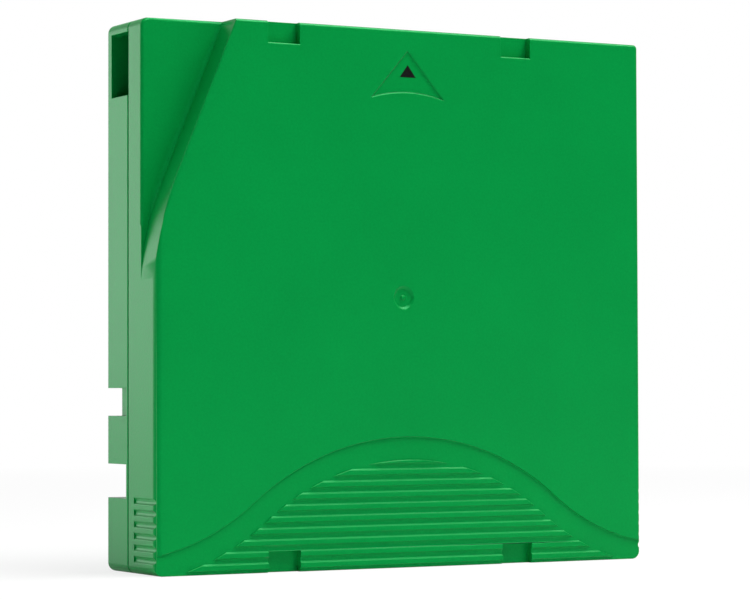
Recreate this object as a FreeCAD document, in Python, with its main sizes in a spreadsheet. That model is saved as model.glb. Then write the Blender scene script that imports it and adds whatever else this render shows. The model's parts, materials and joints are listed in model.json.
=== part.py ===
import FreeCAD, Part
import math
import os
import re
import Sketcher

# Half-inch linear data tape cartridge with one reel, standing on its rear edge.
# X runs to the right of the arrow face, Y from the arrow face to the drive face, and Z up,
# the way the cartridge travels into a drive. The origin is the middle of the rear edge.
# A level is a height above the drive face, counted towards the arrow face.
# All sizes are millimetres, and the angles are degrees.

SIZES = {
    # case
    "width": 105.4,
    "depth": 102.0,
    "thickness": 21.5,
    "parting": 9.4,
    "side_wall": 1.9,
    "back_wall": 2.0,
    "face_wall": 2.2,
    "corner_radius": 1.6,
    "pin_corner_radius": 0.8,
    "edge_radius": 0.6,
    "grip_edge_radius": 1.3,
    "seam_bevel": 0.25,
    "label_recess": 0.3,
    "label_width": 81.0,
    "label_margin": 2.0,
    # insertion guide: the lowered corner beside the arrow face
    "guide_top_x": -36.25,
    "guide_angle": 22.6,
    "guide_drop": 6.2,
    "guide_bend": 55.0,
    "guide_overrun": 0.05,
    "guide_wall": 1.8,
    # arrow, centre dimple and edge notches of the arrow face
    "arrow_apex_z": 97.8,
    "arrow_corner_z": 89.0,
    "arrow_arc_z": 90.1,
    "arrow_half": 7.6,
    "arrow_depth": 0.3,
    "arrow_lip": 0.2,
    "dimple_radius": 2.2,
    "dimple_slope": 0.45,
    "dimple_depth": 0.45,
    "pip_radius": 0.6,
    "pip_rise": 0.3,
    "notch_width": 6.65,
    "notch_left_x": -29.8,
    "notch_right_x": 20.75,
    "notch_reach": 4.0,
    "notch_depth": 1.6,
    "notch_backing": 1.0,
    "notch_cheek": 1.2,
    "notch_lip": 0.2,
    # grip field and its bars
    "bell_peak": 24.72,
    "bell_radius": 51.41,
    "bell_flare_radius": 43.11,
    "bell_flare_x": 60.3,
    "bell_depth": 0.35,
    "grip_inset": 4.4,
    "bar_foot": 0.73,
    "bar_pitch": 2.108,
    "bar_height": 1.04,
    "bar_slope": 0.3,
    "bar_slots": 9,
    "bar_crest_radius": 0.12,
    # finger grooves at both sides
    "groove_radius": 0.75,
    "groove_depth": 0.3,
    "groove_first_z": 2.75,
    "groove_pitch": 2.134,
    "groove_count": 6,
    "groove_level": 12.05,
    # loader window and picker notches at the sides
    "loader_low": 88.2,
    "loader_high": 99.9,
    "picker_level": 8.45,
    "picker_upper_low": 28.9,
    "picker_upper_high": 34.05,
    "picker_upper_depth": 3.0,
    "picker_lower_low": 13.7,
    "picker_lower_high": 20.0,
    "picker_lower_depth": 4.5,
    "picker_wall": 1.5,
    # reel
    "reel_x": -1.06,
    "reel_z": 51.0,
    "reel_level": 3.0,
    "chamber_radius": 49.2,
    "chamber_wall": 1.2,
    "flange_radius": 48.3,
    "flange_thickness": 1.0,
    "flange_gap": 13.1,
    "hub_radius": 22.0,
    "hub_wall": 2.0,
    "hub_floor": 1.6,
    "spigot_length": 2.0,
    "spigot_wall": 1.5,
    "spigot_gap": 0.1,
    "pack_radius": 47.0,
    "tape_width": 12.65,
    "tape_gap": 0.22,
    "tape_thickness": 0.1,
    "tape_clear": 0.3,
    # drive gear, metal plate and release pad under the hub
    "drive_opening": 18.4,
    "opening_lip": 1.5,
    "opening_rise": 0.5,
    "gear_outer": 17.4,
    "gear_inner": 14.0,
    "gear_base": 1.1,
    "tooth_count": 60,
    "tooth_height": 1.0,
    "tooth_root": 1.0,
    "tooth_tip": 0.3,
    "plate_inner": 8.2,
    "plate_outer": 12.9,
    "plate_thickness": 1.0,
    "well_radius": 7.8,
    "well_roof": 1.8,
    "well_wall": 1.4,
    "well_roof_wall": 1.2,
    "pad_corner_radius": 1.9,
    "pad_thickness": 0.9,
    "leg_circle": 5.6,
    "leg_radius": 1.2,
    "leg_gap": 0.3,
    "leg_count": 3,
    # brake inside the hub
    "brake_ring_rise": 1.0,
    "brake_outer": 17.3,
    "brake_plate": 1.45,
    "brake_mesh": 1.25,
    "leg_top_gap": 0.2,
    "socket_radius": 4.6,
    "socket_height": 5.7,
    "socket_floor": 1.3,
    "key_length": 6.0,
    "key_thickness": 1.2,
    "key_gap": 0.2,
    "key_level": 12.0,
    "brake_coil_radius": 7.5,
    "brake_wire_radius": 0.45,
    "brake_coil_turns": 4.0,
    "seat_wall": 1.0,
    "seat_rise": 1.5,
    # leader pin, its clip, cradle and springs
    "pin_x": 46.0,
    "pin_z": 91.0,
    "pin_radius": 1.45,
    "pin_head_radius": 2.2,
    "pin_head_length": 1.6,
    "pin_end_gap": 0.3,
    "pin_head_bevel": 0.3,
    "clip_wall": 0.65,
    "clip_gap": 0.05,
    "clip_mouth": 2.0,
    "clamp_wall": 0.3,
    "clamp_gap": 0.08,
    "clamp_height": 1.4,
    "clamp_reach": 2.6,
    "cradle_gap": 0.25,
    "cradle_wall": 0.9,
    "cradle_rise": 1.9,
    # tape door at the right side
    "door_window_low": 81.0,
    "door_window_high": 98.9,
    "door_thickness": 1.1,
    "door_length": 19.8,
    "door_travel": 15.5,
    "door_gap": 0.2,
    "door_groove": 0.6,
    "lug_length": 1.5,
    "lug_level_low": 8.0,
    "lug_level_high": 13.5,
    "heel_reach": 2.6,
    "heel_height": 1.5,
    "door_spring_level": 6.6,
    "door_spring_end": 44.2,
    "door_coil_radius": 0.95,
    "door_wire_radius": 0.22,
    "door_coil_turns": 12.0,
    "stop_thickness": 1.7,
    # write-protect tab in the rear wall
    "protect_left": -49.2,
    "protect_window": 7.8,
    "protect_low": 4.5,
    "protect_high": 9.0,
    "protect_gap": 0.3,
    "protect_button": 3.5,
    "protect_sink": 0.4,
    "protect_plate": 7.6,
    "protect_plate_thickness": 1.2,
    "protect_travel": 3.7,
    "protect_rail": 1.0,
    # memory board and its chip in the rear corner
    "board_x": 42.0,
    "board_z": 7.6,
    "board_angle": 45.0,
    "board_length": 12.0,
    "board_thickness": 0.8,
    "board_height": 10.0,
    "board_gap": 0.1,
    "board_post": 2.6,
    "chip_size": 4.0,
    "chip_thickness": 0.7,
    # case screws and their bosses, and the two datum holes
    "boss_radius": 2.9,
    "screw_rear_x": 34.5,
    "screw_rear_z": 5.2,
    "screw_left_x": -46.8,
    "screw_left_z": 85.0,
    "screw_right_x": 36.5,
    "screw_right_z": 95.6,
    "screw_radius": 1.1,
    "screw_gap": 0.06,
    "screw_head_radius": 2.0,
    "screw_head_height": 1.3,
    "screw_length": 7.9,
    "screw_seat": 3.6,
    "screw_seat_radius": 2.2,
    "screw_hole": 3.3,
    "screw_drive_radius": 1.0,
    "screw_drive_depth": 0.8,
    "datum_radius": 2.0,
    "datum_wall": 0.9,
    "datum_depth": 5.0,
    "datum_left_x": -47.2,
    "datum_left_z": 76.2,
    "datum_right_x": 46.6,
    "datum_right_z": 24.5,
}

# How far a cut runs past the surface that it opens.
OVERRUN = 1.0

FACE = "thickness"
INSIDE_FACE = "thickness - face_wall"
GUIDE = "thickness - guide_drop"
TAPE_LOW = "reel_level + flange_thickness + tape_gap"
UPPER_FLANGE = "reel_level + flange_thickness + flange_gap"
HUB_FLOOR = "reel_level + hub_floor"
BRAKE_RING = "reel_level + hub_floor + brake_ring_rise"
BRAKE_PLATE = BRAKE_RING + " + brake_mesh"
PLATE_LEVEL = "reel_level - plate_thickness"
INNER_X = "(width / 2 - side_wall)"
DOOR_OUTER = "(width / 2 - side_wall - door_gap)"
DOOR_INNER = "(width / 2 - side_wall - door_gap - door_thickness)"
DOOR_TOP = "(depth - side_wall - door_gap)"
DOOR_FOOT = "(depth - side_wall - door_gap - door_length)"
PIN_LOW = "(back_wall + pin_end_gap)"
PIN_HIGH = "(thickness - face_wall - pin_end_gap)"
CLAMP_INNER = "(pin_head_radius + clamp_gap)"
CLAMP_OUTER = "(pin_head_radius + clamp_gap + clamp_wall)"
CRADLE_INNER = "(pin_head_radius + clamp_gap + clamp_wall + cradle_gap)"
CRADLE_OUTER = "(pin_head_radius + clamp_gap + clamp_wall + cradle_gap + cradle_wall)"

BOSSES = (
    ("rear_left", "-screw_rear_x", "screw_rear_z"),
    ("rear_right", "screw_rear_x", "screw_rear_z"),
    ("front_left", "screw_left_x", "screw_left_z"),
    ("front_right", "screw_right_x", "screw_right_z"),
)
DATUMS = (("left", "datum_left_x", "datum_left_z"), ("right", "datum_right_x", "datum_right_z"))
PICKERS = ("upper", "lower")
SIDES = (-1, 1)

HALF_TURN_X = FreeCAD.Rotation(FreeCAD.Vector(1, 0, 0), 180)
HALF_TURN_Y = FreeCAD.Rotation(FreeCAD.Vector(0, 1, 0), 180)
TOLERANCE = 1e-4

doc = FreeCAD.newDocument("Cartridge")
sheet = doc.addObject("Spreadsheet::Sheet", "Sizes")


def fill_sheet():
    """Write each driving size as plain text beside its name, and give it that alias."""
    for row, (name, number) in enumerate(SIZES.items(), 1):
        sheet.set(f"A{row}", name)
        sheet.set(f"B{row}", str(number))
        sheet.setAlias(f"B{row}", name)
    doc.recompute()


def bound(words):
    """Turn an expression in plain size names into one that reads the sheet."""
    def refer(match):
        word = match.group()
        return f"Sizes.{word}" if word in SIZES else word
    return re.sub(r"[a-z_]+", refer, words)


def polygon(*corners):
    """A closed outline with each corner's two coordinates bound to the sheet."""
    def draw(sketch):
        count = len(corners)
        start = [FreeCAD.Vector(math.cos(math.tau * n / count), math.sin(math.tau * n / count), 0)
                 for n in range(count)]
        first = sketch.GeometryCount
        for n in range(count):
            sketch.addGeometry(Part.LineSegment(start[n], start[(n + 1) % count]), False)
        for n in range(count):
            sketch.addConstraint(Sketcher.Constraint("Coincident", first + n, 2, first + (n + 1) % count, 1))
        for n, corner in enumerate(corners):
            for kind, words, value in zip(("DistanceX", "DistanceY"), corner, start[n]):
                place = sketch.addConstraint(Sketcher.Constraint(kind, first + n, 1, value))
                sketch.setExpression(f"Constraints[{place}]", bound(words))
    return draw


def rectangle(left, right, low, high):
    return polygon((left, low), (right, low), (right, high), (left, high))


def circle(x, z, radius):
    """A circle with its centre and radius bound to the sheet."""
    def draw(sketch):
        round_edge = Part.Circle(FreeCAD.Vector(0, 0, 0), FreeCAD.Vector(0, 0, 1), 1.0)
        index = sketch.addGeometry(round_edge, False)
        for kind, words in (("DistanceX", x), ("DistanceY", z)):
            place = sketch.addConstraint(Sketcher.Constraint(kind, index, 3, 0.0))
            sketch.setExpression(f"Constraints[{place}]", bound(words))
        place = sketch.addConstraint(Sketcher.Constraint("Radius", index, 1.0))
        sketch.setExpression(f"Constraints[{place}]", bound(radius))
    return draw


def several(*shapes):
    """More than one outline in one sketch."""
    def draw(sketch):
        for shape in shapes:
            shape(sketch)
    return draw


def ring(inner, outer, x="0", z="0"):
    return several(circle(x, z, inner), circle(x, z, outer))


def curves(*edges):
    """An outline of lines and arcs that part.py works out from the sheet's values."""
    def draw(sketch):
        sketch.addGeometry(list(edges), False)
    return draw


def point(x, z):
    return FreeCAD.Vector(x, z, 0)


class Piece:
    """One piece as a body, with its sketches centred on a given axis along Y."""

    def __init__(self, name, centre=("0", "0")):
        self.name = name
        self.centre = centre
        self.body = doc.addObject("PartDesign::Body", name)
        self.body.Label = name

    def sketch(self, name, role, base, turn, shape):
        """Draw a shape on one of the body's own planes, moved and turned from it."""
        plane = [item for item in self.body.Origin.OriginFeatures if item.Role == role][0]
        sketch = self.body.newObject("Sketcher::SketchObject", f"{self.name}_{name}_sketch")
        sketch.AttachmentSupport = (plane, [""])
        sketch.MapMode = "FlatFace"
        sketch.AttachmentOffset = FreeCAD.Placement(FreeCAD.Vector(0, 0, 0), turn)
        for axis, words in zip("xyz", base):
            sketch.setExpression(f"AttachmentOffset.Base.{axis}", bound(words))
        shape(sketch)
        return sketch

    def layer_sketch(self, name, shape, level):
        """Drawn in X and Z at a level, looking from the arrow face."""
        base = (*self.centre, f"{level} - thickness / 2")
        return self.sketch(name, "XZ_Plane", base, FreeCAD.Rotation(), shape)

    def turned_sketch(self, name, shape, z="0"):
        """Drawn as radius and level about the centre's axis, or as X and level at a height."""
        base = (self.centre[0], "thickness / 2", f"{self.centre[1]} + {z}")
        return self.sketch(name, "XY_Plane", base, HALF_TURN_X, shape)

    def side_sketch(self, name, shape, x):
        """Drawn as level and height in a plane across X."""
        base = ("thickness / 2", self.centre[1], f"{self.centre[0]} + {x}")
        return self.sketch(name, "YZ_Plane", base, HALF_TURN_Y, shape)

    def feature(self, kind, name, sketch, length):
        feature = self.body.newObject(f"PartDesign::{kind}", f"{self.name}_{name}")
        feature.Profile = sketch
        feature.setExpression("Length", bound(length))
        feature.Reversed = kind == "Pocket"
        return feature

    def add(self, name, shape, low, high):
        """Material between two levels."""
        sketch = self.layer_sketch(name, shape, low)
        return self.feature("Pad", name, sketch, f"{high} - ({low})")

    def cut(self, name, shape, low, high):
        """A cut between two levels."""
        sketch = self.layer_sketch(name, shape, low)
        return self.feature("Pocket", name, sketch, f"{high} - ({low})")

    def revolve(self, kind, name, shape):
        """A full turn about the centre's axis, as material or as a groove."""
        sketch = self.turned_sketch(name, shape)
        feature = self.body.newObject(f"PartDesign::{kind}", f"{self.name}_{name}")
        feature.Profile = sketch
        feature.ReferenceAxis = (sketch, ["V_Axis"])
        feature.Angle = 360
        return feature

    def repeat_round(self, feature, count):
        """Copies of a feature, evenly round the centre's axis."""
        pattern = self.body.newObject("PartDesign::PolarPattern", f"{feature.Name}_round")
        pattern.Originals = [feature]
        pattern.Axis = (self.layer_sketch(f"{feature.Name}_axis", several(), "0"), ["N_Axis"])
        pattern.Angle = 360
        pattern.setExpression("Occurrences", bound(count))
        self.body.Tip = pattern

    def repeat_up(self, feature, count, pitch):
        """Copies of a feature in a row along Z."""
        pattern = self.body.newObject("PartDesign::LinearPattern", f"{feature.Name}_row")
        pattern.Originals = [feature]
        pattern.Direction = (self.layer_sketch(f"{feature.Name}_axis", several(), "0"), ["V_Axis"])
        pattern.setExpression("Length", bound(f"({count} - 1) * {pitch}"))
        pattern.setExpression("Occurrences", bound(count))
        self.body.Tip = pattern

    def soften(self, kind, name, size, chosen):
        """Fillet or chamfer the edges that a test picks."""
        doc.recompute()
        base = self.body.Tip
        edges = [f"Edge{n}" for n, edge in enumerate(base.Shape.Edges, 1) if chosen(edge)]
        if not edges:
            raise RuntimeError(f"{self.name} {name}: no edge found")
        feature = self.body.newObject(f"PartDesign::{kind}", f"{self.name}_{name}")
        feature.Base = (base, edges)
        feature.setExpression("Radius" if kind == "Fillet" else "Size", bound(size))


def near(value, target):
    return abs(value - target) < TOLERANCE


def along_y_at(edge, x, z):
    """Whether an edge runs along Y through a point of the outline."""
    box = edge.BoundBox
    across = near(box.XLength, 0) and near(box.ZLength, 0)
    return across and near(box.XMin, x) and near(box.ZMin, z)


def flat_at(level):
    """A test for edges that lie wholly at one level."""
    y = sheet.thickness / 2 - level
    return lambda edge: near(edge.BoundBox.YMin, y) and near(edge.BoundBox.YMax, y)


def on_face_within(left, right, low, high):
    """A test for edges in the arrow face that lie inside a box of X and Z."""
    on_face = flat_at(sheet.thickness)

    def inside(edge):
        box = edge.BoundBox
        across = box.XMin > left - TOLERANCE and box.XMax < right + TOLERANCE
        return on_face(edge) and across and box.ZMin > low - TOLERANCE and box.ZMax < high + TOLERANCE
    return inside


def case_blank(name, low, high, outer):
    """A case half as a block with its corners, its outer rim and its seam edge softened."""
    half = Piece(name)
    half.add("block", rectangle("-width / 2", "width / 2", "0", "depth"), low, high)
    side = sheet.width / 2
    pin_corner = (side, sheet.depth)
    corners = [(-side, 0), (side, 0), (-side, sheet.depth)]
    half.soften("Fillet", "corners", "corner_radius",
                lambda edge: any(along_y_at(edge, *corner) for corner in corners))
    half.soften("Fillet", "pin_corner", "pin_corner_radius",
                lambda edge: along_y_at(edge, *pin_corner))
    half.soften("Fillet", "rim", "edge_radius", flat_at(outer))
    half.soften("Chamfer", "seam", "seam_bevel", flat_at(sheet.parting))
    return half


def chamber(half, low, high):
    """The round wall about the reel, open towards the leader pin."""
    half.add("chamber", ring("chamber_radius", "(chamber_radius + chamber_wall)", "reel_x", "reel_z"), low, high)
    gap = rectangle("pin_x - pin_head_radius - clamp_reach", "width / 2 - side_wall",
                    "door_spring_end", "pin_z + clamp_reach")
    half.cut("chamber_gap", gap, low, high)


def door_way(half, low, high, groove_low, groove_high):
    """The door's window in the right wall and the groove that it runs in."""
    window = rectangle("width / 2 - side_wall - door_gap", f"width / 2 + {OVERRUN}",
                       "door_window_low", "door_window_high")
    half.cut("door_window", window, low, high)
    groove = rectangle(f"{DOOR_INNER} - door_gap", INNER_X,
                       f"{DOOR_FOOT} - door_travel - door_gap", "depth - side_wall")
    half.cut("door_groove", groove, groove_low, groove_high)


def pin_cradle(half, low, high):
    """Three walls round a head of the leader pin, open towards the door."""
    reach = "pin_x + clamp_reach"
    half.add("cradle", rectangle(f"pin_x - {CRADLE_OUTER}", reach, f"pin_z - {CRADLE_OUTER}",
                                 f"pin_z + {CRADLE_OUTER}"), low, high)
    half.cut("cradle_bay", rectangle(f"pin_x - {CRADLE_INNER}", f"{reach} + {OVERRUN}", f"pin_z - {CRADLE_INNER}",
                                     f"pin_z + {CRADLE_INNER}"), low, high)


def label_recess(half, low, high):
    edge = rectangle("-label_width / 2", "label_width / 2", f"-{OVERRUN}", "label_recess")
    half.cut("label_recess", edge, low, high)


def lower_shell():
    """The drive side of the case, with everything that the loader and the drive take hold of."""
    half = case_blank("lower_shell", "0", "parting", 0)
    half.cut("cavity", rectangle(f"-{INNER_X}", INNER_X, "side_wall", "depth - side_wall"),
             "back_wall", f"parting + {OVERRUN}")
    chamber(half, "back_wall", "parting")
    half.cut("loader_window", rectangle(f"-width / 2 - {OVERRUN}", f"-{INNER_X} + {OVERRUN}", "loader_low",
                                        "loader_high"), "back_wall", f"parting + {OVERRUN}")
    for picker in PICKERS:
        low, high, depth = (f"picker_{picker}_{word}" for word in ("low", "high", "depth"))
        for side in SIDES:
            name = f"picker_{picker}_{'left' if side < 0 else 'right'}"
            backing = f"{side} * (width / 2 - {depth} - picker_wall)"
            half.add(f"{name}_backing", rectangle(backing, f"{side} * (width / 2 - side_wall / 2)",
                                                  f"{low} - picker_wall", f"{high} + picker_wall"),
                     "back_wall", "parting")
            half.cut(name, rectangle(f"{side} * (width / 2 - {depth})", f"{side} * (width / 2 + {OVERRUN})",
                                     low, high), f"-{OVERRUN}", "picker_level")
    half.add("opening_lip", circle("reel_x", "reel_z", "drive_opening + opening_lip"),
             "back_wall", "back_wall + opening_rise")
    half.cut("drive_opening", circle("reel_x", "reel_z", "drive_opening"), f"-{OVERRUN}",
             f"back_wall + {OVERRUN}")
    for name, x, z in BOSSES:
        half.add(f"boss_{name}", circle(x, z, "boss_radius"), "back_wall", "parting")
        half.cut(f"seat_{name}", circle(x, z, "screw_seat_radius"), f"-{OVERRUN}", "screw_seat")
        half.cut(f"bore_{name}", circle(x, z, "screw_radius + screw_gap"), "0", f"parting + {OVERRUN}")
    for name, x, z in DATUMS:
        half.add(f"datum_boss_{name}", circle(x, z, "datum_radius + datum_wall"), "back_wall",
                 "datum_depth + datum_wall")
        half.cut(f"datum_{name}", circle(x, z, "datum_radius"), f"-{OVERRUN}", "datum_depth")
    door_way(half, "back_wall", f"parting + {OVERRUN}", "back_wall - door_groove", f"back_wall + {OVERRUN}")
    half.add("spring_stop", rectangle(f"{DOOR_INNER} - heel_reach", INNER_X, "door_spring_end - stop_thickness",
                                      "door_spring_end"), "back_wall", "parting")
    pin_cradle(half, "back_wall", "back_wall + cradle_rise")
    half.cut("protect_window", rectangle("protect_left", "protect_left + protect_window", f"-{OVERRUN}",
                                         f"side_wall + {OVERRUN}"), "protect_low", "protect_high")
    rail = "side_wall + protect_plate_thickness + 2 * door_gap"
    half.add("protect_rail", rectangle(f"-{INNER_X}", f"-{INNER_X} + protect_plate + protect_travel + 2 * door_gap",
                                       rail, f"{rail} + protect_rail"), "back_wall", "protect_high")
    for side in SIDES:
        x = f"(board_x + {side} * board_length / 2 * cos(board_angle * 1 deg))"
        z = f"(board_z + {side} * board_length / 2 * sin(board_angle * 1 deg))"
        half.add(f"board_post_{'low' if side < 0 else 'high'}",
                 rectangle(f"{x} - board_post / 2", f"{x} + board_post / 2", f"{z} - board_post / 2",
                           f"{z} + board_post / 2"), "back_wall", "parting")
    half.cut("board_slot", slanted("board_x", "board_z", "board_length + 2 * board_gap",
                                   "board_thickness + 2 * board_gap"), "back_wall", f"parting + {OVERRUN}")
    label_recess(half, "label_margin", f"parting + {OVERRUN}")
    return half.body


def slanted(x, z, length, thickness):
    """A rectangle turned to the memory board's angle about its own middle."""
    along_x, along_z = "cos(board_angle * 1 deg)", "sin(board_angle * 1 deg)"
    corners = []
    for end, face in ((-1, -1), (1, -1), (1, 1), (-1, 1)):
        half_length, half_thickness = f"{end} * ({length}) / 2", f"{face} * ({thickness}) / 2"
        corners.append((f"{x} + {half_length} * {along_x} - {half_thickness} * {along_z}",
                        f"{z} + {half_length} * {along_z} + {half_thickness} * {along_x}"))
    return polygon(*corners)


def guide_outline(offset, left, top):
    """The lowered corner: its slanted wall, moved inwards by an offset, bends into the side."""
    slope = math.radians(sheet.guide_angle)
    edge = -sheet.width / 2 - sheet.guide_overrun + offset
    wall_x = sheet.guide_top_x + offset / math.cos(slope)
    corner_z = sheet.depth - (wall_x - edge) / math.tan(slope)
    tangent = sheet.guide_bend * math.tan(slope / 2)
    bend_foot = point(edge, corner_z - tangent)
    centre = point(edge + sheet.guide_bend, corner_z - tangent)
    bend_top = centre + point(-math.cos(slope), math.sin(slope)) * sheet.guide_bend
    bend_mid = centre + point(-math.cos(slope / 2), math.sin(slope / 2)) * sheet.guide_bend
    wall_top = point(wall_x + (top - sheet.depth) * math.tan(slope), top)
    return curves(Part.Arc(bend_foot, bend_mid, bend_top),
                  Part.LineSegment(bend_top, wall_top),
                  Part.LineSegment(wall_top, point(left, top)),
                  Part.LineSegment(point(left, top), point(left, bend_foot.y)),
                  Part.LineSegment(point(left, bend_foot.y), bend_foot))


def insertion_guide(half):
    """The step down to the lowered corner, with a wall of its own under it."""
    inset = sheet.side_wall / 2
    half.add("guide_backing", guide_outline(sheet.guide_wall, inset - sheet.width / 2, sheet.depth - inset),
             f"{GUIDE} - guide_wall", INSIDE_FACE)
    half.cut("guide", guide_outline(0, -sheet.width / 2 - OVERRUN, sheet.depth + OVERRUN),
             GUIDE, f"{FACE} + {OVERRUN}")


def bell_outline(inset, foot, reach):
    """The area under a bell curve: a crown arc that turns over into a flare at each side."""
    crown, flare = sheet.bell_radius - inset, sheet.bell_flare_radius + inset
    crown_z = sheet.bell_peak - sheet.bell_radius
    apart = sheet.bell_radius + sheet.bell_flare_radius
    flare_z = crown_z + math.sqrt(apart ** 2 - sheet.bell_flare_x ** 2)
    meet = math.asin(sheet.bell_flare_x / apart)

    def on_crown(angle):
        return point(crown * math.sin(angle), crown_z + crown * math.cos(angle))

    def on_flare(side, x):
        return point(side * x, flare_z - math.sqrt(flare ** 2 - (sheet.bell_flare_x - x) ** 2))

    meet_x = crown * math.sin(meet)
    end_x = sheet.bell_flare_x - math.sqrt(flare ** 2 - (flare_z - foot) ** 2) if reach is None else reach
    edges = [Part.Arc(on_crown(-meet), on_crown(0), on_crown(meet))]
    for side in SIDES:
        middle = on_flare(side, (meet_x + end_x) / 2)
        end = on_flare(side, end_x)
        edges.append(Part.Arc(on_crown(side * meet), middle, end))
        if reach is not None:
            edges.append(Part.LineSegment(end, point(side * end_x, foot)))
    edges.append(Part.LineSegment(point(-end_x, foot), point(end_x, foot)))
    return curves(*edges)


def edge_notches(half, low):
    """The four stacking notches in the arrow face's upper and lower edges."""
    for name, x in (("left", "notch_left_x"), ("right", "notch_right_x")):
        for end, inner, outer in (("upper", "depth - notch_reach", f"depth + {OVERRUN}"),
                                  ("lower", "notch_reach", f"-{OVERRUN}")):
            half.cut(f"notch_{end}_{name}", rectangle(x, f"{x} + notch_width", inner, outer),
                     low, f"{FACE} + {OVERRUN}")


def notch_backings(half):
    """Thicker places inside the face, under the stacking notches."""
    for name, x in (("left", "notch_left_x"), ("right", "notch_right_x")):
        for end, inner, outer in (("upper", "depth - notch_reach - notch_cheek", "depth - side_wall / 2"),
                                  ("lower", "notch_reach + notch_cheek", "side_wall / 2")):
            half.add(f"backing_{end}_{name}",
                     rectangle(f"{x} - notch_cheek", f"{x} + notch_width + notch_cheek", inner, outer),
                     f"{INSIDE_FACE} - notch_backing", f"{FACE} - notch_depth")


def arrow_recess(half):
    """A shallow triangle with an arched foot, pointing the way the cartridge goes in."""
    left = point(-sheet.arrow_half, sheet.arrow_corner_z)
    right = point(sheet.arrow_half, sheet.arrow_corner_z)
    apex = point(0, sheet.arrow_apex_z)
    shape = curves(Part.Arc(left, point(0, sheet.arrow_arc_z), right),
                   Part.LineSegment(right, apex), Part.LineSegment(apex, left))
    half.cut("arrow", shape, f"{FACE} - arrow_depth", f"{FACE} + {OVERRUN}")
    half.soften("Chamfer", "arrow_lip", "arrow_lip",
                on_face_within(-sheet.arrow_half, sheet.arrow_half, sheet.arrow_corner_z, sheet.arrow_apex_z))


def dimple(half):
    """A dished gate mark at the reel's centre with a pip in its middle."""
    floor = f"{FACE} - dimple_depth"
    centred = half.centre
    half.centre = ("reel_x", "reel_z")
    half.revolve("Groove", "dimple", polygon(
        ("0", f"{FACE} + {OVERRUN}"), ("dimple_radius", f"{FACE} + {OVERRUN}"), ("dimple_radius", FACE),
        ("dimple_radius - dimple_slope", floor), ("pip_radius", floor),
        ("pip_radius / 2", f"{floor} + pip_rise"), ("0", f"{floor} + pip_rise")))
    half.centre = centred


def finger_grooves(half):
    """A row of scallops in each side, where a hand pulls the cartridge out."""
    for name, side in zip(("left", "right"), SIDES):
        x = f"{side} * (width / 2 + groove_radius - groove_depth)"
        groove = half.cut(f"groove_{name}", circle(x, "groove_first_z", "groove_radius"),
                          "groove_level", f"{FACE} + {OVERRUN}")
        half.repeat_up(groove, "groove_count", "groove_pitch")


def grip_edge(half):
    """The rounder edge between the arrow face and the left side."""
    radius = sheet.grip_edge_radius
    side, face = -sheet.width / 2, sheet.thickness
    centre = point(side + radius, face - radius)
    middle = centre + point(-math.sqrt(0.5), math.sqrt(0.5)) * radius
    low, high = point(side, face - radius), point(side + radius, face)
    outside = [point(side + radius, face + OVERRUN), point(side - OVERRUN, face + OVERRUN),
               point(side - OVERRUN, face - radius)]
    corners = [high, *outside, low]
    edges = [Part.Arc(low, middle, high)]
    edges += [Part.LineSegment(start, end) for start, end in zip(corners, corners[1:])]
    sketch = half.turned_sketch("grip_edge", curves(*edges), "depth")
    half.feature("Pocket", "grip_edge", sketch, "depth")


def brake_key(half):
    """The cross-shaped post that keeps the brake button from turning, in its spring's seat."""
    half.add("key_across", rectangle("reel_x - key_length / 2", "reel_x + key_length / 2",
                                     "reel_z - key_thickness / 2", "reel_z + key_thickness / 2"),
             "key_level", INSIDE_FACE)
    half.add("key_up", rectangle("reel_x - key_thickness / 2", "reel_x + key_thickness / 2",
                                 "reel_z - key_length / 2", "reel_z + key_length / 2"), "key_level", INSIDE_FACE)
    seat = "(brake_coil_radius + 2 * brake_wire_radius)"
    half.add("spring_seat", ring(seat, f"{seat} + seat_wall", "reel_x", "reel_z"),
             f"{INSIDE_FACE} - seat_rise", INSIDE_FACE)


def grip_bars():
    """The raised bars of the grip field: one bell-shaped field crossed by sloped slots."""
    bars = Piece("grip_bars")
    low, high = f"({FACE} - bell_depth)", FACE
    bars.add("field", bell_outline(sheet.grip_inset, sheet.bar_foot, None), f"{low} - bell_depth", high)
    middle = "(bar_foot + (bar_pitch + bar_height) / 2)"
    top = "(bar_pitch - bar_height + bar_slope) / 2"
    foot = "(bar_pitch - bar_height - bar_slope) / 2"
    profile = polygon((low, f"{middle} - {foot}"), (high, f"{middle} - {top}"),
                      (f"{high} + {OVERRUN}", f"{middle} - {top}"), (f"{high} + {OVERRUN}", f"{middle} + {top}"),
                      (high, f"{middle} + {top}"), (low, f"{middle} + {foot}"))
    slot = bars.feature("Pocket", "slot", bars.side_sketch("slot", profile, "width / 2"), "width")
    bars.repeat_up(slot, "bar_slots", "bar_pitch")
    bars.soften("Fillet", "crests", "bar_crest_radius", flat_at(sheet.thickness))
    edge_notches(bars, f"{FACE} - notch_depth")
    return bars.body


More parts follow.
